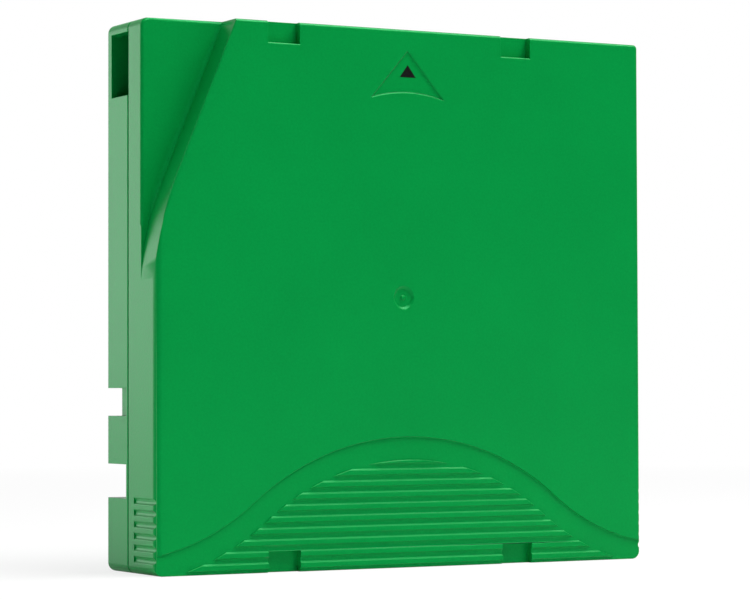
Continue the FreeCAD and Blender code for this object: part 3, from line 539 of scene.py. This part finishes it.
def dress(nodes: dict, names: list, material: bpy.types.Material) -> None:
    """Gives nodes of the frame a material.

    Args:
        nodes: the frame's nodes by name.
        names: the nodes to dress.
        material: their material.
    """
    for name in names:
        node = nodes[name]
        node.data.materials.clear()
        node.data.materials.append(material)
        LOG.info("%s is dressed in %s", name, material.name)


@dataclass(frozen=True)
class Broad:
    """A broad round on some of a skin's edges.

    Its boxes, each a low and a high millimetre value for X, Y and Z, hold the edges. Where it ends
    part-way along an edge, the faces there are first cut at that height in millimetres.
    """

    radius: float
    boxes: tuple
    ends: tuple = ()
    facets: int = 4

    def holds(self, edge: bmesh.types.BMEdge) -> bool:
        """Tells whether both ends of an edge are in one or other of the boxes."""
        return all(any(self.inside(corner.co, box) for box in self.boxes) for corner in edge.verts)

    @staticmethod
    def inside(place: Vector, box: tuple) -> bool:
        """Tells whether a point is in a box."""
        return all(low <= value / MM <= high for value, (low, high) in zip(place, box))

    def cut_ends(self, skin: bmesh.types.BMesh) -> None:
        """Cuts the faces that pass through the boxes where the round ends."""
        for height in self.ends:
            faces = [face for face in skin.faces if any(self.meets(face, box) for box in self.boxes)]
            edges = {edge for face in faces for edge in face.edges}
            corners = {corner for edge in edges for corner in edge.verts}
            bmesh.ops.bisect_plane(
                skin,
                geom=[*faces, *edges, *corners],
                plane_co=(0, 0, height * MM),
                plane_no=Axis.Z.value,
            )

    @staticmethod
    def meets(face: bmesh.types.BMFace, box: tuple) -> bool:
        """Tells whether the box round a face overlaps a given box."""
        places = np.array([corner.co for corner in face.verts]) / MM
        lows, highs = np.array(box).T
        return bool(np.all(places.min(axis=0) <= highs) and np.all(places.max(axis=0) >= lows))


@dataclass
class SoftEdged:
    """A rigid node as a mould leaves it: one closed skin whose long sharp edges are slightly rounded."""

    node: str
    piece: str
    body: Body
    slot: str
    rounding: float = 0.12 * MM
    facets: int = 2
    shortest: float = 0.25 * MM
    weld: float = 0.002 * MM
    flatness: float = math.radians(0.6)
    sharpness: float = math.radians(40)
    crease: float = math.radians(32)
    broad: tuple = ()

    def build(self, nodes: dict, material: bpy.types.Material) -> None:
        """Makes the skin, which stands for its node.

        The node's loose triangles are welded and flat neighbours are joined. The broad rounds come
        first, and then each long edge that turns by more than the sharpness gets a narrow round.
        Edges that still turn by more than the crease keep a hard line, and large faces lead the
        shading of small ones.

        Args:
            nodes: the frame's nodes by name.
            material: the skin's finish.
        """
        skin = bmesh.new()
        skin.from_mesh(nodes[self.node].data)
        bmesh.ops.remove_doubles(skin, verts=skin.verts, dist=self.weld)
        bmesh.ops.dissolve_limit(skin, angle_limit=self.flatness, verts=skin.verts, edges=skin.edges)
        for broad in self.broad:
            broad.cut_ends(skin)
            held = [edge for edge in self.sharp_edges(skin, 0.0) if broad.holds(edge)]
            LOG.info("%s: %d edges rounded by %.2f mm", self.piece, len(held), broad.radius / MM)
            self.round_off(skin, held, broad.radius, broad.facets)
        self.round_off(skin, self.sharp_edges(skin, self.shortest), self.rounding, self.facets)
        for edge in skin.edges:
            edge.smooth = edge.calc_face_angle(0.0) < self.crease
        for face in skin.faces:
            face.smooth = True
        mesh = bpy.data.meshes.new(self.piece)
        skin.to_mesh(mesh)
        skin.free()
        piece = bpy.data.objects.new(self.piece, mesh)
        bpy.context.scene.collection.objects.link(piece)
        shading = piece.modifiers.new("even_shading", "WEIGHTED_NORMAL")
        shading.keep_sharp = True
        show(piece, self.body, material)
        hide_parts(self.node)

    def sharp_edges(self, skin: bmesh.types.BMesh, shortest: float) -> list:
        """Returns the edges that turn by more than the sharpness and are longer than the shortest."""
        return [
            edge
            for edge in skin.edges
            if edge.is_manifold and edge.calc_face_angle() > self.sharpness and edge.calc_length() > shortest
        ]

    @staticmethod
    def round_off(skin: bmesh.types.BMesh, edges: list, radius: float, facets: int) -> None:
        """Replaces edges of a skin by a round of a few facets."""
        bmesh.ops.bevel(
            skin,
            geom=edges,
            offset=radius,
            offset_type="OFFSET",
            segments=facets,
            profile=0.5,
            affect="EDGES",
            clamp_overlap=False,
        )


@dataclass
class CoilSpring:
    """A compression spring of round wire with closed ends."""

    name: str
    node: str
    foot: Vector
    axis: Axis
    length: float
    coil_radius: float
    wire_radius: float
    turns: float
    dead_turns: float
    joint: str
    travel: float
    steps_per_turn: int = 48
    steps_round_wire: int = 14

    def build(self, material: bpy.types.Material) -> None:
        """Builds the wire at the length of its node.

        Args:
            material: the wire's finish.
        """
        spring = surface_mesh(self.name, self.wire()[:, ::-1], True)
        smooth(spring)
        show(spring, Body.CASE, material)
        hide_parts(self.node)
        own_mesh(spring)

    def wire(self) -> np.ndarray:
        """Works out the wire, a circle carried along a helix.

        The helix point at turn t is foot + axis * rise(t) + radius * (cos, sin)(2 pi t), where rise
        is nearly flat over the dead turns at each end and even between them.

        Returns:
            The points, by steps along the helix, steps round the wire and 3.
        """
        along = np.array(self.axis.value)
        side = np.array(Axis.X.value)
        third = np.cross(along, side)
        turn = np.linspace(0, self.turns, int(self.turns * self.steps_per_turn))
        live = np.clip((turn - self.dead_turns) / (self.turns - 2 * self.dead_turns), 0, 1)
        closed = np.minimum(turn, self.dead_turns) + np.maximum(turn - self.turns + self.dead_turns, 0)
        free = self.length - 2 * self.wire_radius * (1 + 2 * self.dead_turns)
        rise = self.wire_radius + live * free + closed * 2 * self.wire_radius
        angle = 2 * np.pi * turn
        outward = np.cos(angle)[:, None] * side + np.sin(angle)[:, None] * third
        centre = np.array(self.foot) + rise[:, None] * along + self.coil_radius * outward
        tangent = self.unit(np.gradient(centre, axis=0))
        binormal = self.unit(np.cross(tangent, outward))
        radial = np.cross(binormal, tangent)
        round_wire = np.linspace(0, 2 * np.pi, self.steps_round_wire, endpoint=False)[None, :, None]
        ring = np.cos(round_wire) * radial[:, None, :] + np.sin(round_wire) * binormal[:, None, :]
        return centre[:, None, :] + self.wire_radius * ring

    @staticmethod
    def unit(vectors: np.ndarray) -> np.ndarray:
        """Returns rows of vectors, each divided by its length."""
        return vectors / np.linalg.norm(vectors, axis=1)[:, None]


@dataclass
class Case:
    """The two moulded case halves, the tape door, the slider, the screws and the printed arrow."""

    arrow_middle: float = 0.1 * MM
    arrow_apex: float = 95.25 * MM
    arrow_base: float = 92.9 * MM
    arrow_half_width: float = 1.75 * MM
    arrow_level: float = -10.45 * MM
    ink_thickness: float = 0.02 * MM
    ink: tuple = (0.0015, 0.0015, 0.0015)
    parting: float = 1.35 * MM
    green: tuple = (0.0005, 0.285, 0.050)
    green_gloss: tuple = (0.08, 0.9, 0.35)
    red: tuple = (0.55, 0.035, 0.025)
    screw_grey: tuple = (0.35, 0.35, 0.36)
    guide_rim: Broad = Broad(
        0.6 * MM,
        (
            ((-52.72, -52.68), (-4.58, -4.52), (63.99, 100.45)),
            ((-52.72, -51.0), (-4.58, -4.52), (100.3, 102.02)),
            ((-51.2, -36.2), (-4.58, -4.52), (101.98, 102.02)),
        ),
        ends=(64.0,),
    )
    guide_foot: Broad = Broad(0.8 * MM, (((-51.2, -36.0), (-4.58, -4.52), (65.5, 100.95)),), ends=(100.9,))
    guide_crest: Broad = Broad(0.35 * MM, (((-52.6, -36.3), (-10.8, -10.5), (65.7, 101.6)),))

    def build(self, nodes: dict) -> None:
        """Dresses the case and prints its arrow."""
        halves = self.moulded_green("case_green", self.parting)
        rounds = (self.guide_rim, self.guide_foot, self.guide_crest)
        SoftEdged("lower_shell", "drive_side_half", Body.CASE, "case_plastic").build(nodes, halves)
        arrow_half = SoftEdged("upper_shell", "arrow_side_half", Body.CASE, "case_plastic", broad=rounds)
        arrow_half.build(nodes, halves)
        leaf = self.moulded_green("door_green", None)
        SoftEdged("tape_door", "door_leaf", Body.DOOR, "case_plastic").build(nodes, leaf)
        red = MouldedPlastic("tab_red", self.red).make()
        SoftEdged("write_protect_tab", "protect_slider_button", Body.SLIDER, "tab_plastic").build(nodes, red)
        dress(nodes, ["case_screws"], DrawnSteel("screw_steel", self.screw_grey).make())
        self.print_arrow()

    def moulded_green(self, name: str, parting: float | None) -> bpy.types.Material:
        """Returns the case's green, with or without a thin line of painted shade where the two halves meet.
        """
        return MouldedPlastic(name, self.green, gloss_tint=self.green_gloss, parting=parting).make()

    def print_arrow(self) -> None:
        """Prints the arrow that shows which way the cartridge goes in: a thin three-sided plate."""
        back = np.array(
            [
                (self.arrow_middle - self.arrow_half_width, self.arrow_level, self.arrow_base),
                (self.arrow_middle + self.arrow_half_width, self.arrow_level, self.arrow_base),
                (self.arrow_middle, self.arrow_level, self.arrow_apex),
            ]
        )
        front = back - (0.0, self.ink_thickness, 0.0)
        arrow = surface_mesh("insertion_arrow", np.stack([front, back]), True)
        show(arrow, Body.CASE, PadInk("arrow_ink", self.ink).make())


@dataclass
class Reel:
    """The tape reel with its drive plate, its wound tape and the run to the leader pin."""

    centre: tuple
    hub_grey: tuple = (0.62, 0.62, 0.60)
    hub_mottle: float = 0.03
    flange_grey: tuple = (0.60, 0.61, 0.62)
    steel: tuple = (0.62, 0.62, 0.63)
    web: tuple = (0.022, 0.019, 0.017)

    def build(self, nodes: dict) -> None:
        """Dresses the reel's nodes."""
        dress(nodes, ["reel_hub"], MouldedPlastic("reel_grey", self.hub_grey, mottle=self.hub_mottle).make())
        dress(nodes, ["reel_upper_flange"], PolishedPlastic("flange_grey", self.flange_grey).make())
        dress(nodes, ["reel_drive_plate"], TurnedSteel("plate_steel", self.steel, self.centre).make())
        dress(nodes, ["tape_pack", "tape_free_run"], WoundTape("tape_web", self.web, self.centre).make())


@dataclass
class Brake:
    """The reel brake: button, release pad and spring."""

    axis_x: float
    axis_z: float
    white: tuple = (0.7, 0.7, 0.68)
    mottle: float = 0.03

    def build(self, nodes: dict, wire: bpy.types.Material) -> None:
        """Dresses the brake and winds its spring."""
        plastic = MouldedPlastic("brake_white", self.white, mottle=self.mottle).make()
        dress(nodes, ["brake_button", "release_pad"], plastic)
        low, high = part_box("brake_spring")
        coil = CoilSpring(
            name="brake_spring_wire",
            node="brake_spring",
            foot=Vector((self.axis_x, low.y, self.axis_z)),
            axis=Axis.Y,
            length=high.y - low.y,
            coil_radius=7.5 * MM,
            wire_radius=0.45 * MM,
            turns=4.0,
            dead_turns=0.5,
            joint="brake_lift",
            travel=1.6 * MM,
            steps_per_turn=96,
        )
        coil.build(wire)


@dataclass
class LeaderPin:
    """The leader pin in its cradle, with the clip that holds the tape's end, and its two clamps."""

    steel: tuple = (0.70, 0.70, 0.71)
    steel_roughness: float = 0.24
    clip_black: tuple = (0.025, 0.025, 0.028)

    def build(self, nodes: dict) -> None:
        """Dresses the pin, its clip and the two clamps."""
        dress(nodes, ["leader_pin"], DrawnSteel("pin_steel", self.steel, self.steel_roughness).make())
        dress(nodes, ["leader_pin_clip"], MouldedPlastic("clip_black", self.clip_black).make())
        dress(nodes, ["pin_spring_upper", "pin_spring_lower"], DrawnSteel("clamp_steel", SPRING_GREY).make())


@dataclass
class Memory:
    """The cartridge memory: a small board with an aerial and one chip."""

    board_green: tuple = (0.02, 0.16, 0.09)
    chip_black: tuple = (0.018, 0.018, 0.02)
    chip_roughness: float = 0.5

    def build(self, nodes: dict) -> None:
        """Dresses the board and its chip."""
        low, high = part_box("memory_board")
        middle = tuple((low + high) / 2)
        dress(nodes, ["memory_board"], Laminate("board_laminate", self.board_green, middle).make())
        resin = MouldedPlastic("chip_black", self.chip_black, roughness=self.chip_roughness).make()
        dress(nodes, ["memory_chip"], resin)


@dataclass
class TapeDoor:
    """The spring that closes the tape door."""

    axis_x: float = 49.025 * MM
    axis_y: float = 4.15 * MM

    def build(self, wire: bpy.types.Material) -> None:
        """Winds the door's spring at the length of its node; the real one shortens as the door slides towards
        the rear edge.
        """
        low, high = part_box("door_spring")
        coil = CoilSpring(
            name="door_spring_wire",
            node="door_spring",
            foot=Vector((self.axis_x, self.axis_y, low.z)),
            axis=Axis.Z,
            length=high.z - low.z,
            coil_radius=0.95 * MM,
            wire_radius=0.22 * MM,
            turns=14.0,
            dead_turns=1.5,
            joint="door_slide",
            travel=15.5 * MM,
        )
        coil.build(wire)


@dataclass(frozen=True)
class Softbox:
    """A square soft lamp: its name, its place and side in metres and its power in watts."""

    name: str
    place: tuple
    size: float
    power: float
    aim: tuple = (0.0, 0.0, 50 * MM)

    def hang(self) -> None:
        """Hangs the lamp so that it faces the middle of the cartridge."""
        data = bpy.data.lights.new(self.name, "AREA")
        data.shape = "SQUARE"
        data.size = self.size
        data.energy = self.power
        lamp = bpy.data.objects.new(self.name, data)
        towards = Vector(self.aim) - Vector(self.place)
        turn = towards.to_track_quat("-Z", "Y").to_matrix().to_4x4()
        lamp.matrix_world = Matrix.Translation(self.place) @ turn
        bpy.context.scene.collection.objects.link(lamp)


@dataclass
class Studio:
    """A pale floor, soft lamps and the camera.

    The backdrop's edge and top, mirrored_from and shadow_edge are each the middle and the width of
    a rise from 0 to 1. The backdrop's two are parts of a unit direction, the others metres.
    """

    place: tuple = (-0.2688, -0.4788, 0.0343)
    yaw: float = math.radians(29.19)
    pitch: float = math.radians(1.73)
    roll: float = math.radians(-0.16)
    focal_pixels: float = 2849.0
    photo_width: float = 750.0
    sensor: float = 36.0
    nearest: float = 0.01
    farthest: float = 50.0
    ambient: float = 0.04
    backdrop_edge: tuple = (0.625, 0.45)
    backdrop_top: tuple = (0.45, 0.5)
    floor_reach: float = 6.0
    floor_colour: tuple = (0.85, 0.85, 0.85)
    floor_roughness: float = 0.9
    mirrored_from: tuple = (0.02, 0.06)
    shadow_share: float = 0.2
    shadow_edge: tuple = (0.45, 0.5)
    lamps: tuple = (
        Softbox("top_softbox", (0.25, -0.26, 0.85), 0.7, 13.2),
        Softbox("side_softbox", (-0.62, 1.04, 0.0), 0.8, 3.0),
        Softbox("left_softbox", (-1.1, 0.4, 0.55), 0.8, 4.0),
    )

    def build(self) -> None:
        """Puts up the camera, the world, the floor and the lamps."""
        self.set_camera()
        self.set_world()
        self.lay_floor()
        for lamp in self.lamps:
            lamp.hang()

    def set_camera(self) -> None:
        """Stands the camera where the photograph was taken from."""
        level = math.cos(self.pitch)
        ahead = Vector((math.sin(self.yaw) * level, math.cos(self.yaw) * level, math.sin(self.pitch)))
        data = bpy.data.cameras.new("portrait_camera")
        data.sensor_width = self.sensor
        data.lens = self.focal_pixels / self.photo_width * self.sensor
        data.clip_start = self.nearest
        data.clip_end = self.farthest
        camera = bpy.data.objects.new("portrait_camera", data)
        turn = ahead.to_track_quat("-Z", "Y").to_matrix().to_4x4() @ Matrix.Rotation(self.roll, 4, "Z")
        camera.matrix_world = Matrix.Translation(self.place) @ turn
        bpy.context.scene.collection.objects.link(camera)
        bpy.context.scene.camera = camera

    def set_world(self) -> None:
        """Makes the world white for the camera and dim for diffuse light.

        A reflection sees it white low down behind the cartridge, and dim in front and above.
        """
        world = bpy.data.worlds.new("studio")
        world.use_nodes = True
        bpy.context.scene.world = world
        sky = Graph(world.node_tree)
        _, along, up = sky.axes(sky.node("ShaderNodeTexCoord", {}, {}).outputs["Generated"])
        camera_ray, glossy_ray = sky.rays()
        behind = along.over(*self.backdrop_edge) * (1 - self.ambient) + self.ambient
        backdrop = behind * (1 - up.over(*self.backdrop_top))
        dim = glossy_ray * (backdrop - self.ambient) + self.ambient
        strength = camera_ray * (1 - dim) + dim
        background = sky.node("ShaderNodeBackground", {}, {"Color": WHITE, "Strength": strength})
        sky.node("ShaderNodeOutputWorld", {}, {"Surface": background.outputs[0]})

    def lay_floor(self) -> None:
        """Lays a wide white floor, which keeps the shadow.

        It glows white for the camera, and for reflections of the part behind the cartridge. Near
        the cartridge a share of it stays lit by the lamps alone, and that share shows the shadow.
        """
        far = self.floor_reach
        corners = np.array([[(-far, -far, 0.0), (-far, far, 0.0)], [(far, -far, 0.0), (far, far, 0.0)]])
        floor = surface_mesh("floor", corners, False)
        paint = Painter("floor_white")
        paint.surface(base_color=self.floor_colour, roughness=self.floor_roughness, specular_ior_level=0.0)
        glow = paint.node("ShaderNodeEmission", {}, {"Color": WHITE, "Strength": 1.0})
        across, along, _ = paint.axes(paint.place)
        camera_ray, glossy_ray = paint.rays()
        seen = camera_ray + glossy_ray * along.over(*self.mirrored_from)
        away = ((across * across + along * along) ** 0.5).over(*self.shadow_edge)
        share = seen.apply("MINIMUM", seen, 1.0) * (away * self.shadow_share + (1 - self.shadow_share))
        lit, glowing = paint.shader.outputs[0], glow.outputs[0]
        mixed = paint.node("ShaderNodeMixShader", {}, {0: share, 1: lit, 2: glowing})
        paint.feed(paint.output.inputs["Surface"], mixed.outputs[0])
        floor.data.materials.append(paint.material)


def clear_scene() -> None:
    """Removes what a new scene holds."""
    for thing in list(bpy.data.objects):
        bpy.data.objects.remove(thing)


def main() -> None:
    """Loads the frame, builds the cartridge's pieces in order and sets up the studio."""
    logging.basicConfig(level=logging.INFO, format="%(name)s: %(message)s")
    clear_scene()
    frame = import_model()
    bpy.context.scene.view_settings.view_transform = "Standard"
    nodes = frame["nodes"]
    reel_axis = next(j for j in frame["joints"] if j["name"] == "reel_spin")["pos_m"]
    centre = (reel_axis[0], 0.0, reel_axis[2])
    wire = DrawnSteel("spring_wire", SPRING_GREY).make()
    Case().build(nodes)
    TapeDoor().build(wire)
    Reel(centre).build(nodes)
    Brake(centre[0], centre[2]).build(nodes, wire)
    LeaderPin().build(nodes)
    Memory().build(nodes)
    Studio().build()


if __name__ == "__main__":
    main()
